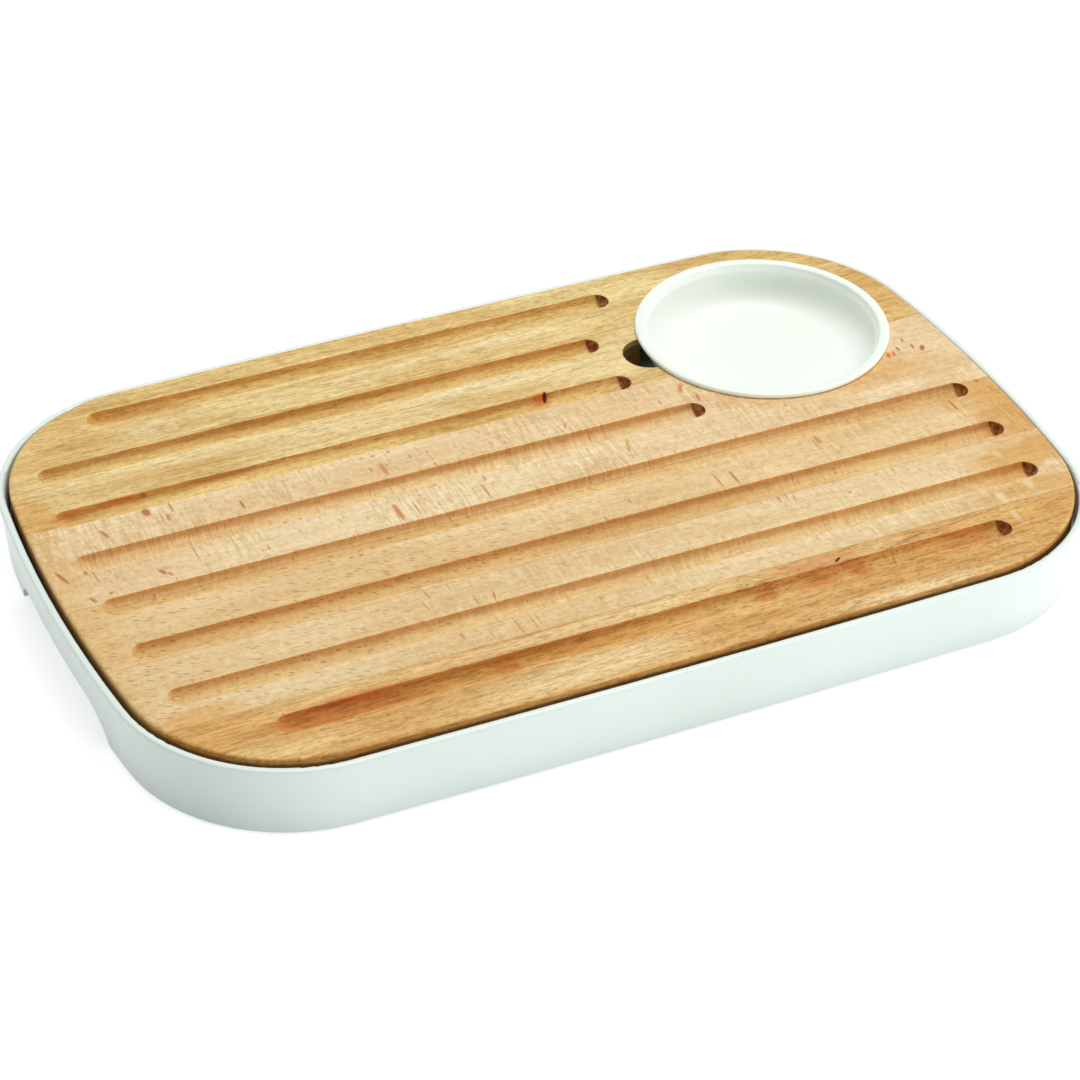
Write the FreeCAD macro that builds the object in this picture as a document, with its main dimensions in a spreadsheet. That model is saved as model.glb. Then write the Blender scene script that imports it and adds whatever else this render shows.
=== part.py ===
import FreeCAD, Part
import Sketcher
import math
import os

# A wooden bread board with eight crumb grooves lies in a white tray. A round dip bowl hangs by its
# lip in a hole in the board, beside a finger notch, and the tray has a hand hold at each end.
# Frame: millimetres, +Z up, +X to the bowl's end, -Y to the front. The origin is on the table,
# under the middle of the board.

doc = FreeCAD.newDocument("bread_board")

driving_sizes = [
    # The board: a rounded rectangle whose ends and sides are slightly bowed.
    ("board_length", 380.0),
    ("board_width", 242.0),
    ("board_thickness", 14.0),
    ("board_corner_radius", 62.0),
    ("board_end_radius", 620.0),
    ("board_side_radius", 8000.0),
    ("board_top_round", 1.0),
    ("board_bottom_round", 1.0),
    # The crumb grooves: round-bottomed cuts along X, numbered from the back.
    ("groove_radius", 5.2),
    ("groove_depth", 4.2),
    ("groove_edge_round", 0.4),
    ("first_groove_gap", 16.5),
    ("last_groove_gap", 23.2),
    ("groove_end_margin", 12.0),
    ("outer_groove_end_margin", 37.0),
    ("bowl_margin_1", 14.2),
    ("bowl_margin_2", 15.8),
    ("bowl_margin_3", 14.6),
    ("bowl_margin_4", 11.1),
    # The inner rows of staves, and how far all four lie back from the board's middle. The two
    # outer rows take what is left of the board.
    ("stave_2_width", 39.5),
    ("stave_3_width", 50.5),
    ("stave_4_width", 39.0),
    ("stave_5_width", 38.5),
    ("glue_up_shift", -1.75),
    # The dip bowl and its hole. The end gap is from the lip to the board's end, and the shift is
    # from halfway between the back edge and groove 5.
    ("bowl_end_gap", 14.8),
    ("bowl_shift", 3.75),
    ("bowl_lip_radius", 51.0),
    ("bowl_lip_width", 4.2),
    ("bowl_lip_thickness", 2.0),
    ("bowl_wall", 2.2),
    ("bowl_wall_lean", 1.2),
    ("bowl_inner_depth", 13.4),
    ("bowl_inner_round", 12.4),
    ("bowl_foot_radius", 30.0),
    ("bowl_foot_height", 0.5),
    ("bowl_hole_clearance", 0.5),
    ("bowl_floor_clearance", 0.5),
    ("notch_radius", 10.8),
    ("notch_overlap", 2.0),
    ("notch_shift", 2.3),
    # The tray: a leaning wall, a floor held up inside it, and a ledge that carries the board.
    ("board_proud", 1.9),
    ("board_gap", 1.8),
    ("tray_wall", 3.0),
    ("tray_wall_lean", 6.2),
    ("tray_rim_round", 1.1),
    ("tray_skirt_round", 0.6),
    ("tray_floor", 2.2),
    ("ledge_height", 2.1),
    ("ledge_width", 6.0),
    ("hand_room", 13.0),
    ("arch_height", 12.5),
    ("arch_flat_width", 60.0),
    ("arch_radius", 20.0),
    ("rib_thickness", 2.0),
    ("rib_depth", 4.0),
    ("long_rib_end_gap", 40.0),
    ("long_rib_side_gap", 71.0),
    ("cross_rib_end_gap", 26.0),
    ("cross_rib_spacing", 90.0),
    # The rubber feet and their bosses under the floor, placed from the board's ends and sides.
    ("foot_end_gap", 38.0),
    ("foot_side_gap", 37.0),
    ("foot_radius", 7.0),
    ("foot_height", 3.0),
    ("foot_drop", 0.8),
    ("foot_edge_round", 0.6),
    ("foot_clearance", 0.1),
    ("boss_wall", 2.2),
    ("boss_recess", 1.8),
]

sheet = doc.addObject("Spreadsheet::Sheet", "Sizes")
for row, (alias, value) in enumerate(driving_sizes, start=1):
    sheet.set("A%d" % row, alias)
    sheet.set("B%d" % row, "%g" % value)
    sheet.setAlias("B%d" % row, alias)
doc.recompute()

groove_count = 8
short_groove_count = 4
stave_rows = 6

# Levels above the table.
skirt_bottom = "Sizes.foot_drop"
floor_bottom = skirt_bottom + " + Sizes.hand_room"
floor_top = floor_bottom + " + Sizes.tray_floor"
board_bottom = floor_top + " + Sizes.ledge_height"
board_top = board_bottom + " + Sizes.board_thickness"
rim_top = board_top + " - Sizes.board_proud"
tray_height = "(" + rim_top + " - (" + skirt_bottom + "))"
boss_bottom = "Sizes.foot_height - Sizes.boss_recess"

# Places that follow the board's size.
groove_pitch = (
    "(Sizes.board_width - Sizes.first_groove_gap - Sizes.last_groove_gap) / %d" % (groove_count - 1)
)
first_groove_y = "Sizes.board_width / 2 - Sizes.first_groove_gap"
fifth_groove_y = "(%s - %d * %s)" % (first_groove_y, short_groove_count, groove_pitch)
bowl_x = "(Sizes.board_length / 2 - Sizes.bowl_end_gap - Sizes.bowl_lip_radius)"
bowl_y = "((Sizes.board_width / 2 + %s) / 2 + Sizes.bowl_shift)" % fifth_groove_y
foot_x = "(Sizes.board_length / 2 - Sizes.foot_end_gap)"
foot_y = "(Sizes.board_width / 2 - Sizes.foot_side_gap)"

bowl_inner_radius = "Sizes.bowl_lip_radius - Sizes.bowl_lip_width"
bowl_outer_radius = bowl_inner_radius + " + Sizes.bowl_wall"
bowl_hole_radius = bowl_outer_radius + " + Sizes.bowl_hole_clearance"
bowl_bottom = "Sizes.board_thickness + Sizes.ledge_height - Sizes.bowl_floor_clearance"


def size(alias):
    return float(sheet.get(alias))


def value_of(expression):
    return float(sheet.evalExpression(expression))


def wall_offset(level):
    """How far the middle of the tray's wall stands out from the board's outline at a level."""
    lean = "tan(Sizes.tray_wall_lean * 1 deg)"
    return "Sizes.board_gap + Sizes.tray_wall / 2 - %s * (%s - (%s))" % (lean, rim_top, level)


def bind(target, name, expression):
    target.setExpression(name, expression)


def new_body(label):
    body = doc.addObject("PartDesign::Body", label)
    body.Label = label
    return body


def origin_feature(body, role):
    return [feature for feature in body.Origin.OriginFeatures if feature.Role == role][0]


def new_sketch(body, label, plane="XY_Plane", across="0", along="0", height="0"):
    """Adds a sketch on one of the body's own planes, moved within it and off it."""
    sketch = body.newObject("Sketcher::SketchObject", label)
    sketch.AttachmentSupport = [(origin_feature(body, plane), "")]
    sketch.MapMode = "FlatFace"
    bind(sketch, "AttachmentOffset.Base.x", across)
    bind(sketch, "AttachmentOffset.Base.y", along)
    bind(sketch, "AttachmentOffset.Base.z", height)
    return sketch


def constrain(sketch, *arguments):
    return sketch.addConstraint(Sketcher.Constraint(*arguments))


def set_size(sketch, expression, *arguments):
    """Adds a dimension whose value follows the expression."""
    index = constrain(sketch, *arguments)
    bind(sketch, "Constraints[%d]" % index, expression)


def corner_centre():
    """The centre of the board's corner arc that touches both the end arc and the side arc."""
    end_x = size("board_length") / 2 - size("board_end_radius")
    side_y = size("board_width") / 2 - size("board_side_radius")
    from_end = size("board_end_radius") - size("board_corner_radius")
    from_side = size("board_side_radius") - size("board_corner_radius")
    apart = math.hypot(end_x, side_y)
    along = (from_side ** 2 - from_end ** 2 + apart ** 2) / (2 * apart)
    off = math.sqrt(from_side ** 2 - along ** 2)
    # The line from the side arc's centre (0, side_y) to the end arc's centre (end_x, 0).
    line_x = end_x / apart
    line_y = -side_y / apart
    return line_x * along + line_y * off, side_y + line_y * along - line_x * off


def draw_outline(sketch, offset):
    """Draws the board's outline, grown by the offset: eight arcs, each tangent to the next."""
    corner_x, corner_y = corner_centre()
    end_x = size("board_length") / 2 - size("board_end_radius")
    side_y = size("board_width") / 2 - size("board_side_radius")
    end_angle = math.atan2(corner_y, corner_x - end_x)
    side_angle = math.atan2(corner_y - side_y, corner_x)
    quarter = math.pi / 2
    up = FreeCAD.Vector(0, 0, 1)
    arcs = [
        (end_x, 0, "end", -end_angle, end_angle),
        (corner_x, corner_y, "corner", end_angle, side_angle),
        (0, side_y, "side", side_angle, 2 * quarter - side_angle),
        (-corner_x, corner_y, "corner", 2 * quarter - side_angle, 2 * quarter - end_angle),
        (-end_x, 0, "end", 2 * quarter - end_angle, 2 * quarter + end_angle),
        (-corner_x, -corner_y, "corner", 2 * quarter + end_angle, 2 * quarter + side_angle),
        (0, -side_y, "side", 2 * quarter + side_angle, 4 * quarter - side_angle),
        (corner_x, -corner_y, "corner", 4 * quarter - side_angle, 4 * quarter - end_angle),
    ]
    for centre_x, centre_y, kind, start, stop in arcs:
        radius = size("board_%s_radius" % kind)
        circle = Part.Circle(FreeCAD.Vector(centre_x, centre_y, 0), up, radius)
        sketch.addGeometry(Part.ArcOfCircle(circle, start, stop), False)
    for index in range(len(arcs)):
        following = (index + 1) % len(arcs)
        constrain(sketch, "Tangent", index, 2, following, 1)
    for index, (centre_x, centre_y, kind, start, stop) in enumerate(arcs):
        radius = "Sizes.board_%s_radius + %s" % (kind, offset)
        set_size(sketch, radius, "Radius", index, size("board_%s_radius" % kind))
    for index, half in ((0, "length"), (2, "width"), (4, "length"), (6, "width")):
        kind = "end" if half == "length" else "side"
        axis = -1 if half == "length" else -2
        constrain(sketch, "PointOnObject", index, 3, axis)
        reach = "Sizes.board_%s_radius - Sizes.board_%s / 2" % (kind, half)
        distance = size("board_%s_radius" % kind) - size("board_%s" % half) / 2
        direction = "DistanceX" if half == "length" else "DistanceY"
        if index in (0, 2):
            set_size(sketch, reach, direction, index, 3, -1, 1, distance)
        else:
            set_size(sketch, reach, direction, -1, 1, index, 3, distance)


def draw_circle(sketch, radius):
    """Draws a circle round the sketch's own origin."""
    start_radius = size("foot_radius")
    up = FreeCAD.Vector(0, 0, 1)
    sketch.addGeometry(Part.Circle(FreeCAD.Vector(0, 0, 0), up, start_radius), False)
    constrain(sketch, "Coincident", 0, 3, -1, 1)
    set_size(sketch, radius, "Radius", 0, start_radius)


def draw_rectangle(sketch, length, width):
    """Draws a rectangle centred on the sketch's origin."""
    half = size("rib_depth")
    corners = [(-half, -half), (half, -half), (half, half), (-half, half)]
    points = [FreeCAD.Vector(x, y, 0) for x, y in corners]
    for index in range(4):
        sketch.addGeometry(Part.LineSegment(points[index], points[(index + 1) % 4]), False)
    for index in range(4):
        constrain(sketch, "Coincident", index, 2, (index + 1) % 4, 1)
    constrain(sketch, "Horizontal", 0)
    constrain(sketch, "Vertical", 1)
    constrain(sketch, "Horizontal", 2)
    constrain(sketch, "Vertical", 3)
    constrain(sketch, "Symmetric", 0, 1, 2, 1, -1, 1)
    set_size(sketch, length, "DistanceX", 0, 1, 0, 2, 2 * half)
    set_size(sketch, width, "DistanceY", 1, 1, 1, 2, 2 * half)


def add_pad(body, sketch, label, length, reversed_way=False):
    pad = body.newObject("PartDesign::Pad", label)
    pad.Profile = sketch
    pad.Reversed = reversed_way
    bind(pad, "Length", length)
    return pad


def add_pocket(body, sketch, label, length, reversed_way=False):
    pocket = body.newObject("PartDesign::Pocket", label)
    pocket.Profile = sketch
    pocket.Reversed = reversed_way
    bind(pocket, "Length", length)
    return pocket


def edges_at(feature, level):
    """The names of the feature's edges that lie flat at a level."""
    names = []
    for index, edge in enumerate(feature.Shape.Edges, start=1):
        box = edge.BoundBox
        if abs(box.ZMin - level) < 0.001 and abs(box.ZMax - level) < 0.001:
            names.append("Edge%d" % index)
    return names


def add_fillet(body, base, label, names, radius):
    fillet = body.newObject("PartDesign::Fillet", label)
    fillet.Base = (base, names)
    bind(fillet, "Radius", radius)
    return fillet


def make_board():
    """The glued-up board, shaped, grooved and bored. The staves are cut out of it later."""
    body = new_body("glued_board")
    outline = new_sketch(body, "board_outline", height=board_bottom)
    draw_outline(outline, "0")
    slab = add_pad(body, outline, "board_slab", "Sizes.board_thickness")
    doc.recompute()
    low = slab.Shape.BoundBox.ZMin
    high = slab.Shape.BoundBox.ZMax
    for number in range(1, groove_count + 1):
        groove = add_groove(body, number)
    doc.recompute()
    softened = add_fillet(
        body, groove, "groove_edges", groove_edges(groove, high), "Sizes.groove_edge_round"
    )
    doc.recompute()
    top = add_fillet(body, softened, "top_round", outline_at(softened, high), "Sizes.board_top_round")
    doc.recompute()
    add_fillet(body, top, "bottom_round", edges_at(top, low), "Sizes.board_bottom_round")
    hole = new_sketch(body, "bowl_hole_circle", across=bowl_x, along=bowl_y, height=board_top)
    draw_circle(hole, bowl_hole_radius)
    add_pocket(body, hole, "bowl_hole", "Sizes.board_thickness")
    notch_x = bowl_x + " - Sizes.bowl_lip_radius + Sizes.notch_overlap"
    notch_y = bowl_y + " + Sizes.notch_shift"
    notch = new_sketch(body, "notch_circle", across=notch_x, along=notch_y, height=board_top)
    draw_circle(notch, "Sizes.notch_radius")
    add_pocket(body, notch, "finger_notch", "Sizes.board_thickness")
    return body


def wires_at(feature, level):
    """The outer wire and the inner wires of the flat face at a level."""
    for face in feature.Shape.Faces:
        if abs(face.BoundBox.ZMin - level) < 0.001 and abs(face.BoundBox.ZMax - level) < 0.001:
            inner = [wire for wire in face.Wires if not wire.isSame(face.OuterWire)]
            return face.OuterWire, inner


def edge_names(feature, wires):
    names = []
    for index, edge in enumerate(feature.Shape.Edges, start=1):
        if any(edge.isSame(other) for wire in wires for other in wire.Edges):
            names.append("Edge%d" % index)
    return names


def outline_at(feature, level):
    return edge_names(feature, [wires_at(feature, level)[0]])


def groove_edges(feature, level):
    return edge_names(feature, wires_at(feature, level)[1])


def add_groove(body, number):
    """A round-bottomed groove with ball ends: a capsule turned about its own axis."""
    line = "(%s - %d * %s)" % (first_groove_y, number - 1, groove_pitch)
    end_curve = (
        "Sizes.board_length / 2 - Sizes.board_end_radius"
        " + sqrt(Sizes.board_end_radius ^ 2 - %s ^ 2)" % line
    )
    outer = number in (1, groove_count)
    margin = "Sizes.outer_groove_end_margin" if outer else "Sizes.groove_end_margin"
    left = "-(%s - %s)" % (end_curve, margin)
    right = "%s - %s" % (end_curve, margin)
    if number <= short_groove_count:
        reach = "(Sizes.bowl_lip_radius + Sizes.bowl_margin_%d)" % number
        right = "%s - sqrt(%s ^ 2 - (%s - %s) ^ 2)" % (bowl_x, reach, line, bowl_y)
    sketch = new_sketch(
        body,
        "groove_%d_profile" % number,
        plane="XZ_Plane",
        across=left,
        along="%s + Sizes.groove_radius - Sizes.groove_depth" % board_top,
        height="-" + line,
    )
    radius = size("groove_radius")
    length = value_of("%s - (%s)" % (right, left))
    up = FreeCAD.Vector(0, 0, 1)
    first = Part.Circle(FreeCAD.Vector(radius, 0, 0), up, radius)
    last = Part.Circle(FreeCAD.Vector(length - radius, 0, 0), up, radius)
    low_left = FreeCAD.Vector(radius, -radius, 0)
    low_right = FreeCAD.Vector(length - radius, -radius, 0)
    sketch.addGeometry(Part.ArcOfCircle(first, math.pi, 1.5 * math.pi), False)
    sketch.addGeometry(Part.LineSegment(low_left, low_right), False)
    sketch.addGeometry(Part.ArcOfCircle(last, 1.5 * math.pi, 2 * math.pi), False)
    sketch.addGeometry(Part.LineSegment(FreeCAD.Vector(length, 0, 0), FreeCAD.Vector(0, 0, 0)), False)
    constrain(sketch, "Coincident", 0, 1, -1, 1)
    constrain(sketch, "PointOnObject", 0, 3, -1)
    constrain(sketch, "Tangent", 0, 2, 1, 1)
    constrain(sketch, "Tangent", 1, 2, 2, 1)
    constrain(sketch, "Horizontal", 1)
    constrain(sketch, "PointOnObject", 2, 3, -1)
    constrain(sketch, "Coincident", 2, 2, 3, 1)
    constrain(sketch, "Coincident", 3, 2, 0, 1)
    constrain(sketch, "Horizontal", 3)
    set_size(sketch, "Sizes.groove_radius", "DistanceX", 0, 1, 0, 3, radius)
    run = "%s - (%s) - 2 * Sizes.groove_radius" % (right, left)
    set_size(sketch, run, "DistanceX", 0, 3, 2, 3, length - 2 * radius)
    groove = body.newObject("PartDesign::Groove", "groove_%d" % number)
    groove.Profile = sketch
    groove.ReferenceAxis = (sketch, ["H_Axis"])
    groove.Angle = 360
    return groove


def cut_stave(board, label, front, back, left, right):
    """One stave: the part of the glued-up board between its glue lines."""
    strip = doc.addObject("Part::Box", label + "_strip")
    bind(strip, "Placement.Base.x", left)
    bind(strip, "Placement.Base.y", front)
    bind(strip, "Placement.Base.z", board_bottom)
    bind(strip, "Length", "%s - (%s)" % (right, left))
    bind(strip, "Width", "%s - (%s)" % (back, front))
    bind(strip, "Height", "Sizes.board_thickness")
    stave = doc.addObject("Part::Common", label)
    stave.Label = label
    stave.Base = board
    stave.Tool = strip
    return stave


def glue_lines():
    """Where the rows of staves meet, from back to front."""
    inner_widths = ["Sizes.stave_%d_width" % number for number in range(2, stave_rows)]
    line = "Sizes.glue_up_shift + (%s) / 2" % " + ".join(inner_widths)
    lines = [line]
    for width in inner_widths:
        line = "%s - %s" % (line, width)
        lines.append(line)
    return lines


def make_staves(board):
    """Six rows of staves from back to front. The bowl's hole cuts the second row in two."""
    lines = ["Sizes.board_width"] + glue_lines() + ["-Sizes.board_width"]
    left = "-Sizes.board_length"
    right = "Sizes.board_length"
    staves = []
    for number in range(1, stave_rows + 1):
        back, front = lines[number - 1], lines[number]
        if number == 2:
            staves.append(cut_stave(board, "stave_2_left", front, back, left, bowl_x))
            staves.append(cut_stave(board, "stave_2_right", front, back, bowl_x, right))
        else:
            staves.append(cut_stave(board, "stave_%d" % number, front, back, left, right))
    return staves


def make_tray():
    body = new_body("tray")
    outside = new_sketch(body, "outside", height=rim_top)
    draw_outline(outside, "Sizes.board_gap + Sizes.tray_wall")
    block = add_pad(body, outside, "outer_block", tray_height, reversed_way=True)
    bind(block, "TaperAngle", "-Sizes.tray_wall_lean")
    inside = new_sketch(body, "inside", height=rim_top)
    draw_outline(inside, "Sizes.board_gap")
    core = add_pocket(body, inside, "inner_core", tray_height)
    bind(core, "TaperAngle", "-Sizes.tray_wall_lean")
    doc.recompute()
    low = core.Shape.BoundBox.ZMin
    high = core.Shape.BoundBox.ZMax
    rim = add_fillet(body, core, "rim_round", edges_at(core, high), "Sizes.tray_rim_round")
    doc.recompute()
    add_fillet(body, rim, "skirt_round", edges_at(rim, low), "Sizes.tray_skirt_round")

    floor = new_sketch(body, "floor_outline", height=floor_bottom)
    draw_outline(floor, wall_offset(floor_bottom))
    add_pad(body, floor, "floor", "Sizes.tray_floor")
    ledge = new_sketch(body, "ledge_outline", height=floor_top)
    draw_outline(ledge, wall_offset(floor_top))
    add_pad(body, ledge, "ledge_slab", "Sizes.ledge_height")
    well = new_sketch(body, "well_outline", height=board_bottom)
    draw_outline(well, "Sizes.board_gap - Sizes.ledge_width")
    add_pocket(body, well, "well", "Sizes.ledge_height")

    add_ribs(body)
    for number, side, way in foot_places():
        add_boss(body, number, side, way)
    add_arches(body)
    return body


def add_ribs(body):
    """A grid of stiffening ribs under the floor."""
    long_length = "Sizes.board_length - 2 * Sizes.long_rib_end_gap"
    cross_length = "Sizes.board_width - 2 * Sizes.cross_rib_end_gap"
    for name, side in (("back", "1"), ("front", "-1")):
        line = "%s * (Sizes.board_width / 2 - Sizes.long_rib_side_gap)" % side
        rib = new_sketch(body, "long_rib_%s_outline" % name, along=line, height=floor_bottom)
        draw_rectangle(rib, long_length, "Sizes.rib_thickness")
        add_pad(body, rib, "long_rib_%s" % name, "Sizes.rib_depth", reversed_way=True)
    for number, step in enumerate((-1, 0, 1), start=1):
        line = "%d * Sizes.cross_rib_spacing" % step
        rib = new_sketch(body, "cross_rib_%d_outline" % number, across=line, height=floor_bottom)
        draw_rectangle(rib, "Sizes.rib_thickness", cross_length)
        add_pad(body, rib, "cross_rib_%d" % number, "Sizes.rib_depth", reversed_way=True)


def foot_places():
    """Each foot's number, and the signs of its X and Y."""
    signs = [(-1, -1), (1, -1), (1, 1), (-1, 1)]
    return [(number, side, way) for number, (side, way) in enumerate(signs, start=1)]


def add_boss(body, number, side, way):
    """A post under the floor with a recess that holds a foot."""
    across = "%d * %s" % (side, foot_x)
    along = "%d * %s" % (way, foot_y)
    post = new_sketch(body, "boss_%d_circle" % number, across=across, along=along, height=floor_bottom)
    draw_circle(post, "Sizes.foot_radius + Sizes.foot_clearance + Sizes.boss_wall")
    post_length = "%s - (%s)" % (floor_bottom, boss_bottom)
    add_pad(body, post, "boss_%d" % number, post_length, reversed_way=True)
    seat = new_sketch(body, "seat_%d_circle" % number, across=across, along=along, height=boss_bottom)
    draw_circle(seat, "Sizes.foot_radius + Sizes.foot_clearance")
    add_pocket(body, seat, "seat_%d" % number, "Sizes.boss_recess", reversed_way=True)


def add_arches(body):
    """The hand holds: the same arch cut through the skirt at both ends."""
    beyond = "2 * Sizes.tray_wall"
    start = "-(Sizes.board_length / 2 + Sizes.board_gap + %s)" % beyond
    sketch = new_sketch(body, "arch_profile", plane="YZ_Plane", height=start)
    flat = size("arch_flat_width") / 2
    radius = size("arch_radius")
    top = size("foot_drop") + size("arch_height")
    spread = math.sqrt(radius ** 2 - (radius - top) ** 2)
    foot_angle = math.asin((radius - top) / radius)
    up = FreeCAD.Vector(0, 0, 1)
    low_left = FreeCAD.Vector(-flat - spread, 0, 0)
    low_right = FreeCAD.Vector(flat + spread, 0, 0)
    right_circle = Part.Circle(FreeCAD.Vector(flat, top - radius, 0), up, radius)
    left_circle = Part.Circle(FreeCAD.Vector(-flat, top - radius, 0), up, radius)
    sketch.addGeometry(Part.LineSegment(low_left, low_right), False)
    sketch.addGeometry(Part.ArcOfCircle(right_circle, foot_angle, math.pi / 2), False)
    sketch.addGeometry(
        Part.LineSegment(FreeCAD.Vector(flat, top, 0), FreeCAD.Vector(-flat, top, 0)), False
    )
    sketch.addGeometry(Part.ArcOfCircle(left_circle, math.pi / 2, math.pi - foot_angle), False)
    constrain(sketch, "Coincident", 0, 2, 1, 1)
    constrain(sketch, "Tangent", 1, 2, 2, 1)
    constrain(sketch, "Tangent", 2, 2, 3, 1)
    constrain(sketch, "Coincident", 3, 2, 0, 1)
    constrain(sketch, "PointOnObject", 0, 1, -1)
    constrain(sketch, "PointOnObject", 0, 2, -1)
    constrain(sketch, "Symmetric", 2, 1, 2, 2, -2)
    set_size(sketch, "Sizes.arch_radius", "Radius", 1, radius)
    set_size(sketch, "Sizes.arch_radius", "Radius", 3, radius)
    set_size(sketch, "Sizes.arch_flat_width", "DistanceX", 2, 2, 2, 1, 2 * flat)
    set_size(sketch, skirt_bottom + " + Sizes.arch_height", "DistanceY", -1, 1, 2, 1, top)
    reach = "Sizes.tray_wall + 2 * (%s) + Sizes.board_gap + Sizes.ledge_width" % beyond
    arch = add_pocket(body, sketch, "left_arch", reach, reversed_way=True)
    both = body.newObject("PartDesign::Mirrored", "both_arches")
    both.Originals = [arch]
    both.MirrorPlane = (origin_feature(body, "YZ_Plane"), [""])
    body.Tip = both


def make_bowl():
    """The dip bowl, turned about its own axis. Its own zero level is the board's top."""
    body = new_body("dip_bowl")
    bind(body, "Placement.Base.x", bowl_x)
    bind(body, "Placement.Base.y", bowl_y)
    bind(body, "Placement.Base.z", board_top)
    sketch = new_sketch(body, "bowl_profile", plane="XZ_Plane")
    draw_bowl_profile(sketch)
    spin = body.newObject("PartDesign::Revolution", "bowl_turning")
    spin.Profile = sketch
    spin.ReferenceAxis = (sketch, ["V_Axis"])
    spin.Angle = 360
    return body


def draw_bowl_profile(sketch):
    """Draws half of the bowl's section: thirteen lines and arcs in order, from the inner floor."""
    lip = size("bowl_lip_radius")
    thick = size("bowl_lip_thickness")
    inner = lip - size("bowl_lip_width")
    outer = inner + size("bowl_wall")
    lean = size("bowl_wall_lean")
    inner_depth = size("bowl_inner_depth")
    bottom = size("board_thickness") + size("ledge_height") - size("bowl_floor_clearance")
    inner_round = size("bowl_inner_round")
    outer_round = inner_round + size("bowl_wall")
    foot = size("bowl_foot_radius")
    under = bottom - size("bowl_foot_height")
    half = thick / 2
    quarter = math.pi / 2
    up = FreeCAD.Vector(0, 0, 1)

    def point(radius, height):
        return FreeCAD.Vector(radius, height, 0)

    def line(start, stop):
        sketch.addGeometry(Part.LineSegment(start, stop), False)

    def arc(centre, radius, start, stop):
        circle = Part.Circle(centre, up, radius)
        sketch.addGeometry(Part.ArcOfCircle(circle, start, stop), False)

    inner_centre = point(inner - lean - inner_round, inner_round - inner_depth)
    outer_centre = point(outer - lean - outer_round, outer_round - under)
    line(point(0, -inner_depth), point(inner_centre.x, -inner_depth))
    arc(inner_centre, inner_round, 3 * quarter, 4 * quarter)
    line(point(inner - lean, inner_centre.y), point(inner, half))
    arc(point(inner + half, half), half, quarter, 2 * quarter)
    line(point(inner + half, thick), point(lip - half, thick))
    arc(point(lip - half, half), half, -quarter, quarter)
    line(point(lip - half, 0), point(outer, 0))
    line(point(outer, 0), point(outer - lean, outer_centre.y))
    arc(outer_centre, outer_round, 3 * quarter, 4 * quarter)
    line(point(outer_centre.x, -under), point(foot, -under))
    line(point(foot, -under), point(foot, -bottom))
    line(point(foot, -bottom), point(0, -bottom))
    line(point(0, -bottom), point(0, -inner_depth))

    # An arc that was drawn the other way round is joined by its other end.
    joins = [
        (0, 2, 1, 1), (1, 2, 2, 1), (2, 2, 3, 2), (3, 1, 4, 1), (4, 2, 5, 2), (5, 1, 6, 1),
        (6, 2, 7, 1), (7, 2, 8, 2), (8, 1, 9, 1), (9, 2, 10, 1), (10, 2, 11, 1), (11, 2, 12, 1),
        (12, 2, 0, 1),
    ]
    for join in joins:
        constrain(sketch, "Coincident", *join)
    for index in (0, 4, 6, 9, 11):
        constrain(sketch, "Horizontal", index)
    for index in (10, 12):
        constrain(sketch, "Vertical", index)
    for arc_index, upright_end, level_end in ((1, 1, 2), (3, 1, 2), (8, 1, 2)):
        constrain(sketch, "Vertical", arc_index, 3, arc_index, upright_end)
        constrain(sketch, "Horizontal", arc_index, 3, arc_index, level_end)
    constrain(sketch, "Vertical", 5, 3, 5, 1)
    constrain(sketch, "Vertical", 5, 3, 5, 2)
    constrain(sketch, "PointOnObject", 0, 1, -2)
    constrain(sketch, "PointOnObject", 6, 1, -1)

    radii = [
        (1, "Sizes.bowl_inner_round", inner_round),
        (3, "Sizes.bowl_lip_thickness / 2", half),
        (5, "Sizes.bowl_lip_thickness / 2", half),
        (8, "Sizes.bowl_inner_round + Sizes.bowl_wall", outer_round),
    ]
    for index, expression, value in radii:
        set_size(sketch, expression, "Radius", index, value)
    from_axis = [
        (3, 2, bowl_inner_radius, inner),
        (5, 1, "Sizes.bowl_lip_radius - Sizes.bowl_lip_thickness / 2", lip - half),
        (6, 2, bowl_outer_radius, outer),
        (1, 2, bowl_inner_radius + " - Sizes.bowl_wall_lean", inner - lean),
        (8, 2, bowl_outer_radius + " - Sizes.bowl_wall_lean", outer - lean),
        (10, 1, "Sizes.bowl_foot_radius", foot),
    ]
    for index, end, expression, value in from_axis:
        set_size(sketch, expression, "DistanceX", -1, 1, index, end, value)
    below_lip = [
        (0, "Sizes.bowl_inner_depth", inner_depth),
        (9, bowl_bottom + " - Sizes.bowl_foot_height", under),
        (12, bowl_bottom, bottom),
    ]
    for index, expression, value in below_lip:
        set_size(sketch, expression, "DistanceY", index, 1, -1, 1, value)


def make_foot(number, side, way):
    """A rubber disc that sits in its boss and stands on the table."""
    body = new_body("rubber_foot_%d" % number)
    bind(body, "Placement.Base.x", "%d * %s" % (side, foot_x))
    bind(body, "Placement.Base.y", "%d * %s" % (way, foot_y))
    sketch = new_sketch(body, "foot_%d_circle" % number)
    draw_circle(sketch, "Sizes.foot_radius")
    disc = add_pad(body, sketch, "foot_%d_disc" % number, "Sizes.foot_height")
    doc.recompute()
    add_fillet(body, disc, "foot_%d_round" % number, edges_at(disc, 0), "Sizes.foot_edge_round")
    return body


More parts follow.
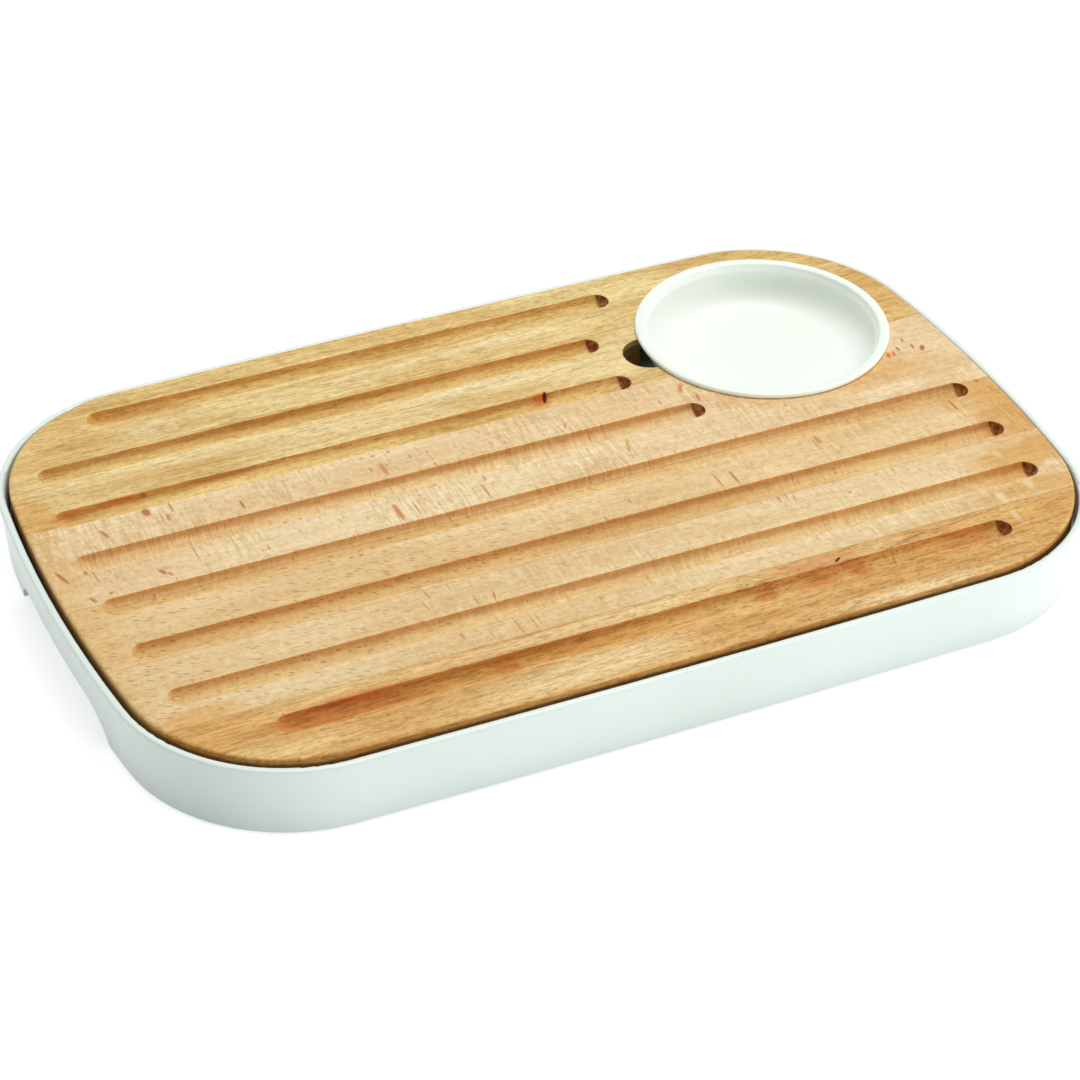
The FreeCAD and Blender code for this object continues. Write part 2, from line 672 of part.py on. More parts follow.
def check_and_export(parts):
    """Stops on any failed feature or shape, then writes one file for each piece."""
    for feature in doc.Objects:
        if "Invalid" in feature.State or "Error" in feature.State:
            raise RuntimeError("%s failed: %s" % (feature.Name, feature.State))
    os.makedirs("parts", exist_ok=True)
    for part in parts:
        shape = part.Shape
        if shape.isNull() or not shape.isValid() or len(shape.Solids) != 1:
            raise RuntimeError("%s is not one valid solid" % part.Label)
        print("%-16s %10.1f mm3  %s" % (part.Label, shape.Volume, shape.BoundBox))
    for part in parts:
        part.Shape.exportStep("parts/%s.step" % part.Label)


board = make_board()
pieces = make_staves(board)
pieces.append(make_tray())
pieces.append(make_bowl())
for foot_number, foot_side, foot_way in foot_places():
    pieces.append(make_foot(foot_number, foot_side, foot_way))
doc.recompute()
check_and_export(pieces)
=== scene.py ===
import bpy
import math
from mathutils import Matrix, Vector


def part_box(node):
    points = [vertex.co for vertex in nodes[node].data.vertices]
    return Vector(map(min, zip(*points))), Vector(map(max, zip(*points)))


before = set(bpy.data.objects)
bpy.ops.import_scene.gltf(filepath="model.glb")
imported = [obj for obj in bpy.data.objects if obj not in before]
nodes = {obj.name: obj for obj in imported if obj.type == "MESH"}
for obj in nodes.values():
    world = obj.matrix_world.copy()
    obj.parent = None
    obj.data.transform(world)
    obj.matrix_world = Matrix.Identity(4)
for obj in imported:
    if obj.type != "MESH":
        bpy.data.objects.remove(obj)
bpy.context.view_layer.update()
scene = bpy.context.scene


perMetre = 1000              # millimetres


# small helpers for building materials

def linearColor(red, green, blue):
    # screen values 0-255 to the linear values that the shader takes
    def one(value):
        value /= 255
        return value / 12.92 if value <= 0.04045 else ((value + 0.055) / 1.055) ** 2.4
    return (one(red), one(green), one(blue), 1)


def plug(tree, socket, value):
    if isinstance(value, bpy.types.NodeSocket):
        tree.links.new(value, socket)
    else:
        socket.default_value = value


def addNode(tree, kind, values=None, **settings):
    node = tree.nodes.new(kind)
    for name, setting in settings.items():
        setattr(node, name, setting)
    for name, value in (values or {}).items():
        plug(tree, node.inputs[name], value)
    return node


def calculate(tree, operation, first, second=0.0):
    return addNode(tree, "ShaderNodeMath", {0: first, 1: second}, operation=operation).outputs[0]


def product(tree, *factors):
    result = factors[0]
    for factor in factors[1:]:
        result = calculate(tree, "MULTIPLY", result, factor)
    return result


def scaledPlus(tree, value, scale, shift):
    values = {0: value, 1: scale, 2: shift}
    return addNode(tree, "ShaderNodeMath", values, operation="MULTIPLY_ADD").outputs[0]


def lengthOf(tree, vector):
    node = addNode(tree, "ShaderNodeVectorMath", {0: vector}, operation="LENGTH")
    return node.outputs["Value"]


def mixColors(tree, factor, first, second, mode="MIX"):
    # the node's sockets 6 and 7 are the two colours, and output 2 is the mixed one
    node = addNode(tree, "ShaderNodeMix", data_type="RGBA", blend_type=mode)
    plug(tree, node.inputs[0], factor)
    plug(tree, node.inputs[6], first)
    plug(tree, node.inputs[7], second)
    return node.outputs[2]


def tinted(tree, reach, color, tint):
    # the colour multiplied by the tint, as far as reach says
    return mixColors(tree, reach, color, mixColors(tree, 1.0, color, tint, "MULTIPLY"))


def smoothStep(tree, value, low, high, start=0.0, end=1.0):
    # start at and below low, end at and above high, and a smooth passage between them
    node = addNode(tree, "ShaderNodeMapRange", interpolation_type="SMOOTHSTEP")
    for place, entry in enumerate((value, low, high, start, end)):
        plug(tree, node.inputs[place], entry)
    return node.outputs[0]


def stretched(tree, vector, scale, shift=(0, 0, 0), turn=0.0):
    values = {"Vector": vector, "Scale": scale, "Location": shift,
              "Rotation": (0, 0, math.radians(turn))}
    return addNode(tree, "ShaderNodeMapping", values).outputs[0]


def noiseOf(tree, vector, scale=1.0, detail=2.0, roughness=0.5, distortion=0.0):
    values = {"Vector": vector, "Scale": scale, "Detail": detail,
              "Roughness": roughness, "Distortion": distortion}
    return addNode(tree, "ShaderNodeTexNoise", values).outputs["Fac"]


def cellsOf(tree, vector):
    # how far each point is from the middle of its cell, and a random colour for each cell
    node = addNode(tree, "ShaderNodeTexVoronoi", {"Vector": vector, "Scale": 1.0})
    return node.outputs["Distance"], node.outputs["Color"]


def addBump(tree, shader, height, depth, strength):
    values = {"Height": height, "Distance": depth, "Strength": strength}
    tree.links.new(addNode(tree, "ShaderNodeBump", values).outputs[0], shader.inputs["Normal"])


def newMaterial(name):
    material = bpy.data.materials.new(name)
    material.use_nodes = True
    tree = material.node_tree
    shader = tree.nodes["Principled BSDF"]
    place = addNode(tree, "ShaderNodeTexCoord")
    return material, tree, shader, place


def dress(piece, material):
    # one material over the whole piece, in its only slot
    piece.data.materials.clear()
    piece.data.materials.append(material)


# the bread board: seven staves of beech

boardLook = {
    "topHeight": 0.0321,                     # upper face, metres
    "farWallShadeTint": (0.82, 0.53, 0.30, 1),        # painted shade on the groove wall that looks to the front
    "grooveRestShadeTint": (1.00, 0.94, 0.77, 1),        # the rest of a groove: the cut wood's deeper tone and a lighter painted shade
    "sideToneAndShadeTint": (0.64, 0.53, 0.40, 1),       # outer edge of the board, its upper part: the edge's darker tone and painted shade
    "gapShadowTint": (0.34, 0.25, 0.17, 1),       # and its lower part: painted shadow of the gap along the tray rim
    "tipEndGrainAndShadeTint": (0.25, 0.08, 0.03, 1),        # end grain at the right tip of a groove, with painted shade, as these tips face away from the key light
    "glueColor": (180, 124, 70),
    "glueStrength": 0.3,
    "glueReach": (0.0001, 0.0003),           # half width of a glue line, full and faded, metres
    "outline": 0.12,                         # edges farther out than this have no glue line
    "roughness": (0.60, 0.78),
    "roughRange": (0.2, 0.8),                # of the fibres
    "specular": 0.12,
    "fibreHeight": 0.6,
    "dashHeight": 0.5,
    "bumpDepth": 0.00015,
    "bumpStrength": 0.7,
    "seedStep": (3.1, 1.7, 0.9),             # how far one seed moves the patterns, metres
    "bandTone": (0.13, 0.07),                # how much bands darken and lighten the wood
    "fibreTone": (0.23, 0.04),
    "mottleTone": (0.945, 1.055),
    "lineTone": (0.88, 1.07),
    "tonePowers": (1.3, 1.9),                # of green and blue, so that dark streaks are redder
    "wideMark": (3, 2),                      # half sizes in mm: larger marks are under the grain
}

# where each cut face begins and is full: heights and places in metres, directions as the
# face normal's part along one axis
cutRanges = {
    "grooveDepth": (0.0001, 0.0004),
    "farWall": (-0.98, -0.55),               # along y, from the far wall's painted shade to the lighter painted shade of the rest
    "upright": (0.05, 0.2),                  # along z, from upright to lying
    # depth below the top where the side's painted shade becomes the gap's painted shadow
    "gapShadowDepth": (0.0021, 0.0029),
    "tipFacing": (-0.42, -0.22),             # along x: the tips that face left, away from the key light, get painted shade
    "tipPlace": (-0.05, 0.0),
    "tipDepth": (0.0035, 0.0045),
    "tipSpeckle": (0.72, 1.0),               # least and most strength of the tip's tint
    "lipFade": 0.001,                        # beyond the bowl's lip
}

# noises of the grain: cells per metre along, across and down, the noise's own settings, and
# the part of its range that is used
grainNoises = {
    "broad": {"cells": (9, 42, 42), "detail": 2, "distortion": 0.4, "range": (0.36, 0.66)},
    "waviness": {"cells": (90, 320, 320), "detail": 3},
    "bands": {"cells": (14, 240, 240), "detail": 4, "roughness": 0.6, "distortion": 0.5,
              "range": (0.34, 0.66)},
    "fibres": {"cells": (120, 1000, 1000), "detail": 4, "roughness": 0.66, "distortion": 0.8,
               "range": (0.36, 0.54)},
    "mottle": {"cells": (480, 420, 420), "detail": 3, "roughness": 0.65, "range": (0.34, 0.66)},
    "lines": {"cells": (800, 75, 75), "detail": 2, "roughness": 0.6, "range": (0.34, 0.66)},
    "patches": {"cells": (30, 40, 40), "shift": (0.3, 0.7, 0.1), "detail": 1,
                "range": (0.38, 0.62)},
    "dots": {"cells": (260, 420, 420), "detail": 3, "range": (0.36, 0.60)},
}

# scattered spots: their size in cells, the share of cells that has one, and how strong they are.
# The cells are per metre, along and across the grain. Those of the dashes are in staveLooks.
dashSpots = {"size": 0.36, "share": 0.8, "strength": 0.72, "color": (166, 108, 56)}
silkSpots = {"cells": (640, 210), "size": 0.42, "share": 0.5, "strength": 0.42,
             "color": (204, 150, 92)}
fleckSpots = {"cells": (300, 120), "size": 0.24, "share": 0.10, "strength": 0.5,
              "color": (170, 100, 54)}
spotShape = {"least": 0.5, "spread": 0.6, "core": 0.6, "chanceFade": 0.03}

# how a mark ends: its full part and its rim as shares of its half size, and how far a ragged
# one frays and sways
markShape = {"core": 0.8, "rim": 1.35, "fray": 0.9, "sway": 2.4}

# base and warm are the two tones. bands and fibres are how strongly the broad stripes and the
# lines of the grain show. dashes and rays are strengths at the left and right ends, and turn
# is where, in millimetres along the board, the one becomes the other. dashCell is the dashes'
# cells per metre. lean of the dashes and tilt of the grain are in degrees, and seed tells one
# stave's pattern from another's.
staveLooks = {
    "stave_1": {"base": (236, 210, 150), "warm": (222, 184, 118), "bands": 0.9, "fibres": 1.0,
                "dashes": (0.62, 0.62), "dashCell": (250, 1300), "lean": -4, "rays": (0, 0),
                "turn": (-50, 50), "tilt": 0.6, "seed": 1.0},
    "stave_2_left": {"base": (237, 212, 155), "warm": (221, 184, 120), "bands": 0.9, "fibres": 0.9,
                     "dashes": (0.62, 0.66), "dashCell": (250, 1300), "lean": -6, "rays": (0, 0),
                     "turn": (-50, 50), "tilt": -0.6, "seed": 2.0},
    "stave_2_right": {"base": (230, 200, 138), "warm": (216, 174, 106), "bands": 0.9, "fibres": 1.0,
                      "dashes": (0.62, 0.66), "dashCell": (250, 1300), "lean": -4, "rays": (0, 0),
                      "turn": (-50, 50), "tilt": -0.4, "seed": 2.0},
    "stave_3": {"base": (239, 213, 170), "warm": (231, 197, 150), "bands": 0.3, "fibres": 0.4,
                "dashes": (0.2, 0.35), "dashCell": (180, 800), "lean": -30, "rays": (1.0, 0.7),
                "turn": (40, 130), "tilt": 0.2, "seed": 3.0},
    "stave_4": {"base": (236, 205, 157), "warm": (225, 188, 134), "bands": 0.35, "fibres": 0.42,
                "dashes": (0.80, 0.35), "dashCell": (200, 950), "lean": -18, "rays": (0.15, 0.9),
                "turn": (-60, 60), "tilt": -0.6, "seed": 4.0},
    "stave_5": {"base": (238, 211, 167), "warm": (229, 196, 145), "bands": 0.35, "fibres": 0.42,
                "dashes": (0.80, 0.3), "dashCell": (200, 950), "lean": -22, "rays": (0.2, 0.8),
                "turn": (-110, -40), "tilt": -0.5, "seed": 5.0},
    "stave_6": {"base": (232, 195, 134), "warm": (217, 166, 100), "bands": 0.9, "fibres": 1.15,
                "dashes": (0.62, 1.0), "dashCell": (270, 1250), "lean": 8, "rays": (0, 0),
                "turn": (-50, 50), "tilt": -0.9, "seed": 7.0},
}

# marks in the wood, and pale streaks of painted highlight among them: middle x, y and half size
# along and across in millimetres, lean in degrees, colour, strength and raggedness
rayBrown = (186, 118, 66)
rayFaint = (194, 142, 88)
# pale flecks, and also the pale streaks of painted highlight in staves 5 and 6
paleRayAndGlare = (243, 220, 180)
darkBrown = (160, 102, 54)
rustRed = (208, 122, 68)
endOrange = (220, 168, 98)
knotDark = (66, 30, 14)
paleGold = (244, 222, 176)
paleStraw = (244, 222, 174)
dullGold = (224, 184, 122)
rayOrange = (206, 116, 60)
rayAmber = (196, 122, 56)
woodMarks = {
    "stave_1": [(188, 90, 40, 60, 0, (214, 172, 104), 0.6, 0.5),
                (-60, 92, 70, 3, 0, paleStraw, 0.5, 0.8),
                (24, 93, 40, 3, 0, paleStraw, 0.6, 0.8),
                (-125, 90, 14, 8, 0, paleGold, 0.5, 0.7),
                (-158, 103, 16, 12, 0, (224, 182, 116), 0.5, 0.5),
                (-120, 107, 26, 1.2, 0, (196, 122, 60), 0.5, 0.6)],
    "stave_2_left": [(-80, 64, 60, 4, -4, paleGold, 0.5, 0.8),
                     (0, 66, 42, 4, 0, paleGold, 0.5, 0.8),
                     (-96, 62, 10, 0.6, -10, (218, 164, 106), 0.6, 0.4),
                     (-167, 50.6, 7, 1.2, 0, (204, 118, 60), 0.5, 0.5),
                     (-149, 51.4, 9, 1.0, 0, (204, 122, 66), 0.6, 0.5),
                     (-140, 51.2, 1.4, 0.45, 0, (150, 84, 42), 0.6, 0.3),
                     (-110, 51.2, 20, 0.5, 0, (180, 116, 60), 0.5, 0.5),
                     (-182, 52, 8, 22, 0, endOrange, 0.7, 0.5),
                     (23, 50.6, 4.4, 2.4, 0, (222, 116, 62), 0.7, 0.5),
                     (24.6, 51, 0.8, 1.5, -25, knotDark, 0.95, 0.15)],
    "stave_2_right": [(188, 66, 26, 30, 0, (214, 170, 100), 0.6, 0.5)],
    "stave_3": [(130, 17, 48, 13, -6, (223, 174, 112), 0.85, 0.4),
                (150, 0, 16, 4, 0, paleRayAndGlare, 0.7, 0.5),
                (-188, 20, 10, 40, 0, (222, 180, 118), 0.6, 0.4),
                (-143.5, 38.8, 1.5, 2.5, 0, rayBrown, 0.95, 0.15),
                (-134, 38.5, 0.6, 3.6, 0, rayFaint, 0.85, 0.3),
                (-137, 32.5, 0.8, 2.4, -8, rayFaint, 0.8, 0.3),
                (-162, 31.8, 0.8, 3.0, 16, rayBrown, 0.8, 0.2),
                (-163.6, 37.5, 0.35, 4.0, 0, rayFaint, 0.7, 0.3),
                (-109.2, 29.2, 0.6, 2.8, 0, rayBrown, 0.85, 0.2),
                (-52.4, 29, 1.1, 4.2, 0, (208, 142, 90), 0.9, 0.2),
                (-57, 30.6, 0.6, 1.8, 0, rayFaint, 0.8, 0.3),
                (-53, 38.8, 1.2, 0.7, 0, rayFaint, 0.8, 0.3),
                (-46.5, 38.8, 0.7, 1.0, 0, rayFaint, 0.8, 0.3),
                (-57.6, 39, 0.7, 0.7, 0, rayFaint, 0.8, 0.3),
                (-58.2, 1.3, 1.0, 5.6, 0, (206, 138, 80), 0.95, 0.2),
                (-51, 0.4, 0.4, 5.2, 0, rayFaint, 0.9, 0.3),
                (-23, 0.4, 0.5, 5.0, 0, rayFaint, 0.9, 0.3),
                (-184.8, 12.6, 0.8, 4.4, 16, rayBrown, 0.9, 0.2),
                (-176, 12, 0.7, 1.6, 0, rayBrown, 0.8, 0.3),
                (-173.5, 8.5, 0.45, 4.6, 4, rayFaint, 0.8, 0.3),
                (-150.4, 1.4, 0.9, 2.0, 20, rayBrown, 0.9, 0.2),
                (-148.2, -0.8, 0.6, 1.4, 20, rayBrown, 0.8, 0.2),
                (-178.8, -4.6, 0.8, 2.0, 20, rayBrown, 0.8, 0.2),
                (-171.6, -3.2, 0.9, 0.7, 0, darkBrown, 0.7, 0.2),
                (-135.6, 7.5, 0.35, 5.4, 0, rayFaint, 0.8, 0.3),
                (-99, 12, 0.8, 0.6, 0, darkBrown, 0.6, 0.2),
                (-93, 12, 0.5, 0.7, 0, darkBrown, 0.6, 0.2),
                (-39, 12, 0.6, 0.9, 0, darkBrown, 0.6, 0.2),
                (74.8, 33.4, 1.0, 3.6, -26, (212, 136, 72), 0.85, 0.2),
                (78.2, 25, 0.6, 2.8, -10, (206, 116, 66), 0.85, 0.2),
                (63, 27.5, 0.5, 1.8, 0, rayFaint, 0.7, 0.3),
                (22.5, 28, 0.5, 2.2, -16, rayFaint, 0.8, 0.3),
                (38.6, 5.6, 0.6, 4.4, -16, (208, 154, 90), 0.8, 0.3),
                (161, 21, 0.9, 1.8, -20, rayOrange, 0.9, 0.2),
                (163.6, 21.2, 0.6, 1.7, -20, rayOrange, 0.85, 0.2),
                (166.8, 24, 0.5, 1.6, 0, darkBrown, 0.8, 0.2),
                (173, 22.8, 0.5, 1.9, -10, darkBrown, 0.8, 0.2),
                (176.2, 20.6, 1.0, 2.2, -28, (182, 100, 50), 0.9, 0.25),
                (171.6, 28.6, 0.5, 1.1, -20, darkBrown, 0.7, 0.2)],
    "stave_4": [(188, -26, 20, 30, 0, endOrange, 0.85, 0.4),
                (-190, -24, 14, 30, 0, dullGold, 0.6, 0.4),
                (59.4, -28.6, 0.5, 4.8, 0, rayFaint, 0.85, 0.3),
                (66, -29.4, 0.6, 4.8, 0, rayBrown, 0.8, 0.2),
                (106.6, -20, 0.9, 3.0, 0, rayFaint, 0.85, 0.3),
                (104.6, -21.5, 0.3, 2.8, 0, rayFaint, 0.8, 0.3),
                (166.4, -20, 0.6, 3.8, 0, rayAmber, 0.9, 0.2),
                (163.6, -20, 1.2, 3.2, 0, endOrange, 0.8, 0.3),
                (186, -16, 0.5, 2.0, 0, rayAmber, 0.7, 0.2),
                (183.5, -9.2, 0.9, 1.1, 0, (190, 112, 54), 0.8, 0.2),
                (23, -27.5, 0.5, 1.4, 0, rayFaint, 0.8, 0.3),
                (-81, -18.2, 1.0, 0.6, 0, (196, 110, 58), 0.8, 0.2),
                (-85, -18, 0.8, 0.5, 0, darkBrown, 0.7, 0.2),
                (-95.6, -16.4, 1.0, 0.5, 0, darkBrown, 0.7, 0.2)],
    "stave_5": [(182, -60, 32, 12, 0, endOrange, 0.85, 0.35),
                (176, -80, 42, 6, 0, endOrange, 0.8, 0.4),
                (181, -69, 3.6, 3.0, 10, paleRayAndGlare, 0.6, 0.5),
                (-188, -60, 10, 30, 0, dullGold, 0.5, 0.4),
                (-168, -82, 17, 5.5, 0, (224, 172, 100), 0.75, 0.3),
                # painted highlight: pale streaks of softbox glare, set down as marks
                (151.2, -81, 1.8, 4.0, 2, paleRayAndGlare, 0.75, 0.6),
                (165.2, -77.5, 1.8, 4.6, -3, paleRayAndGlare, 0.65, 0.6),
                (164.8, -56.5, 1.3, 3.4, 0, paleRayAndGlare, 0.45, 0.7),
                (74.5, -48.6, 0.5, 2.3, 0, rayFaint, 0.85, 0.2),
                (78, -47.8, 0.4, 1.7, 0, rayFaint, 0.8, 0.2),
                (80.4, -49.8, 0.4, 1.5, -10, rayFaint, 0.8, 0.2),
                (101, -55.5, 1.0, 0.5, 16, darkBrown, 0.6, 0.2),
                (-69, -50, 0.4, 3.4, 4, rayFaint, 0.8, 0.3),
                (-60, -48, 0.3, 3.6, 0, rayFaint, 0.8, 0.3),
                (-72, -56, 0.4, 3.4, 6, rayFaint, 0.8, 0.3),
                (-54, -60, 0.3, 3.2, 0, rayBrown, 0.7, 0.3),
                (-47, -60, 0.4, 2.8, -14, rayBrown, 0.8, 0.3),
                (-67, -77.5, 0.6, 2.0, 0, (204, 146, 82), 0.85, 0.3),
                (-46.5, -80.5, 0.35, 5.0, 2, rayFaint, 0.85, 0.3),
                (-40.6, -80, 0.3, 4.0, 0, rayFaint, 0.8, 0.3),
                (-38.4, -79, 0.25, 3.6, 0, rayFaint, 0.8, 0.3),
                (-57, -80, 0.25, 3.4, 0, rayFaint, 0.7, 0.3)],
    "stave_6": [(90, -112, 80, 12, 0, (216, 162, 96), 0.7, 0.5),
                (-30, -112, 40, 8, 0, (240, 211, 160), 0.7, 0.4),
                (92, -118, 34, 4.6, 0, (240, 212, 164), 0.75, 0.6),
                (-30, -89.5, 70, 3.6, 0, (238, 207, 156), 0.6, 0.5),
                (-165, -90, 28, 8, 0, (222, 170, 102), 0.6, 0.5),
                (-117, -97.6, 30, 6.4, 0, (202, 126, 66), 0.75, 0.15),
                (-58, -97, 5, 4.4, 0, (206, 132, 74), 0.6, 0.4),
                (68, -89, 17, 3.4, 0, (220, 160, 106), 0.85, 0.2),
                (45, -97, 5, 5.4, 0, rustRed, 0.65, 0.6),
                (67, -96.6, 10, 4.6, 0, rustRed, 0.6, 0.6),
                (83, -96.4, 7, 4.0, -24, rustRed, 0.55, 0.6),
                (128, -97, 13, 5.6, 0, (212, 132, 76), 0.5, 0.7),
                (42, -87.4, 9.5, 0.5, -35, (202, 148, 92), 0.75, 0.3),
                (97.4, -96.4, 0.6, 4.4, -4, darkBrown, 0.4, 0.5),
                (106, -90.4, 9.5, 0.6, 12, darkBrown, 0.7, 0.4),
                (129, -88.2, 14, 0.5, 4, darkBrown, 0.6, 0.5),
                (76, -91.2, 1.7, 0.6, 34, knotDark, 0.95, 0.1),
                # painted highlight: a pale streak of softbox glare, set down as a mark
                (150.2, -93.5, 1.6, 5.0, 0, paleRayAndGlare, 0.45, 0.7)],
}


def addMark(tree, place, waviness, color, mark):
    x, y, halfX, halfY, lean, tint, strength, ragged = mark
    turned = stretched(tree, place, (1, 1, 1), turn=-lean)
    angle = math.radians(-lean)
    turnedX = x * math.cos(angle) - y * math.sin(angle)
    turnedY = x * math.sin(angle) + y * math.cos(angle)
    centred = stretched(tree, turned, (perMetre / halfX, perMetre / halfY, 0),
                        (-turnedX / halfX, -turnedY / halfY, 0))
    sway = markShape["sway"]
    ragging = scaledPlus(tree, waviness, sway * ragged, -sway / 2 * ragged)
    reach = calculate(tree, "ADD", lengthOf(tree, centred), ragging)
    core = markShape["core"] - markShape["fray"] * ragged
    edge = smoothStep(tree, reach, core, markShape["rim"], strength, 0)
    return mixColors(tree, edge, color, linearColor(*tint))


def addMarks(tree, place, waviness, color, marks):
    for mark in marks:
        color = addMark(tree, place, waviness, color, mark)
    return color


def isWide(mark):
    halfX, halfY = mark[2:4]
    leastX, leastY = boardLook["wideMark"]
    return halfX > leastX and halfY > leastY


def grainOf(tree, vector, kind):
    settings = {key: value for key, value in grainNoises[kind].items()
                if key in ("detail", "roughness", "distortion")}
    shift = grainNoises[kind].get("shift", (0, 0, 0))
    return noiseOf(tree, stretched(tree, vector, grainNoises[kind]["cells"], shift), **settings)


def toneOf(tree, noise, kind, start=0.0, end=1.0):
    # the used part of the noise, as a tone from start to end
    return smoothStep(tree, noise, *grainNoises[kind]["range"], start, end)


def stripes(tree, noise, kind, tone, strength):
    darker, lighter = tone
    return toneOf(tree, noise, kind, 1 - darker * strength, 1 + lighter * strength)


def scattered(tree, vector, cells, kind):
    # small spots, one in some of the cells: 1 inside a spot and 0 outside
    spot, cellColor = cellsOf(tree, stretched(tree, vector, (cells[0], cells[1], cells[1])))
    chance = addNode(tree, "ShaderNodeSeparateColor", {0: cellColor})
    none = 1 - kind["share"]
    here = smoothStep(tree, chance.outputs[0], none, none + spotShape["chanceFade"])
    half = scaledPlus(tree, chance.outputs[1], spotShape["spread"] * kind["size"],
                      spotShape["least"] * kind["size"])
    inside = smoothStep(tree, spot, product(tree, half, spotShape["core"]), half, 1, 0)
    return product(tree, inside, here)


def toned(tree, color, tone):
    greenPower, bluePower = boardLook["tonePowers"]
    shades = {0: tone, 1: calculate(tree, "POWER", tone, greenPower),
              2: calculate(tree, "POWER", tone, bluePower)}
    combined = addNode(tree, "ShaderNodeCombineXYZ", shades).outputs[0]
    return mixColors(tree, 1.0, color, combined, "MULTIPLY")


def addRays(tree, own, rayPart, color):
    # upright lines, silky spots and flecks of quarter-sawn wood
    patches = toneOf(tree, grainOf(tree, own, "patches"), "patches")
    lines = toneOf(tree, grainOf(tree, own, "lines"), "lines", *boardLook["lineTone"])
    color = mixColors(tree, product(tree, rayPart, patches), color, toned(tree, color, lines))
    for kind in (silkSpots, fleckSpots):
        spots = scattered(tree, own, kind["cells"], kind)
        color = mixColors(tree, product(tree, spots, rayPart, kind["strength"]), color,
                          linearColor(*kind["color"]))
    return color


def addGlueLines(tree, name, across, color):
    # at the stave's own long edges, but not along the outline of the board
    low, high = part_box(name)
    for edge in (low.y, high.y):
        if abs(edge) < boardLook["outline"]:
            away = calculate(tree, "ABSOLUTE", calculate(tree, "SUBTRACT", across, edge))
            line = smoothStep(tree, away, *boardLook["glueReach"], boardLook["glueStrength"], 0)
            color = mixColors(tree, line, color, linearColor(*boardLook["glueColor"]))
    return color


def beyondLip(tree, here):
    # 0 under the dip bowl, 1 beyond its lip
    lipLow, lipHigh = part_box("dip_bowl")
    lipRadius = (lipHigh.x - lipLow.x) / 2
    fromBowl = stretched(tree, here, (1, 1, 0),
                         (-(lipLow.x + lipHigh.x) / 2, -(lipLow.y + lipHigh.y) / 2, 0))
    return smoothStep(tree, lengthOf(tree, fromBowl), lipRadius, lipRadius + cutRanges["lipFade"])


# painted shade: groove walls, the far ones most, and the board's sides are darkened, the sides
# deepest as a painted shadow next to the tray rim; the right tips of the grooves get end grain
# colour and painted shade
def tintCuts(tree, here, normal, own, color):
    # groove walls and edges are deeper in colour, and end grain is darkest
    position = addNode(tree, "ShaderNodeSeparateXYZ", {0: here})
    along, up = position.outputs["X"], position.outputs["Z"]
    facingX, facingY, facingZ = addNode(tree, "ShaderNodeSeparateXYZ", {0: normal}).outputs
    depth = calculate(tree, "SUBTRACT", boardLook["topHeight"], up)
    inGroove = smoothStep(tree, depth, *cutRanges["grooveDepth"])
    upright = smoothStep(tree, calculate(tree, "ABSOLUTE", facingZ), *cutRanges["upright"], 1, 0)

    # painted shade in the grooves, darkest on the wall that faces the front
    grooveShadeTint = mixColors(tree, smoothStep(tree, facingY, *cutRanges["farWall"]),
                         boardLook["farWallShadeTint"], boardLook["grooveRestShadeTint"])
    grooveShadeReach = product(tree, inGroove, calculate(tree, "SUBTRACT", 1.0, upright))
    color = tinted(tree, grooveShadeReach, color, grooveShadeTint)

    # painted shade on the board's sides, and painted shadow of the gap lower down
    sideShadeTint = mixColors(tree, smoothStep(tree, depth, *cutRanges["gapShadowDepth"]),
                         boardLook["sideToneAndShadeTint"], boardLook["gapShadowTint"])
    color = tinted(tree, upright, color, sideShadeTint)

    # end grain with painted shade, only at the groove tips that face left
    atTip = product(tree, smoothStep(tree, facingX, *cutRanges["tipFacing"], 1, 0), inGroove,
                    smoothStep(tree, along, *cutRanges["tipPlace"]),
                    smoothStep(tree, depth, *cutRanges["tipDepth"], 1, 0),
                    beyondLip(tree, here))
    speckle = toneOf(tree, grainOf(tree, own, "dots"), "dots", *cutRanges["tipSpeckle"])
    return mixColors(tree, atTip, color, tinted(tree, speckle, color, boardLook["tipEndGrainAndShadeTint"]))


